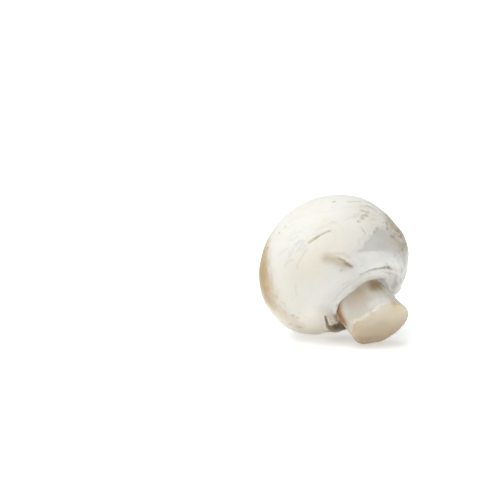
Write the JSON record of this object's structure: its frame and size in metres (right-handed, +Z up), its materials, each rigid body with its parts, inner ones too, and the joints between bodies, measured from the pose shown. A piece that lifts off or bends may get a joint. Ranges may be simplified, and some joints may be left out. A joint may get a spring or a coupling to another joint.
{
  "type": "button mushroom",
  "caption": "Fresh white button mushroom with a closed veil and a short trimmed stem, lying on the shoulder of its cap and the rim of the cut.",
  "frame": {"origin": "under the middle of the mushroom's bounding box, on the surface that it lies on", "axes": "+X is the way the stem points, seen from above; the mushroom's axis lies in the XZ plane and its stem end dips below level; +Z up"},
  "size_m": [0.0462, 0.0456, 0.0435],
  "materials": {
    "flesh": "soft matte white skin with fine silky fibres, small brown bruises and scuffs, creamier on the stem and beige on the cut"
  },
  "bodies": {
    "root": {"mushroom": "flesh"}
  },
  "joints": []
}
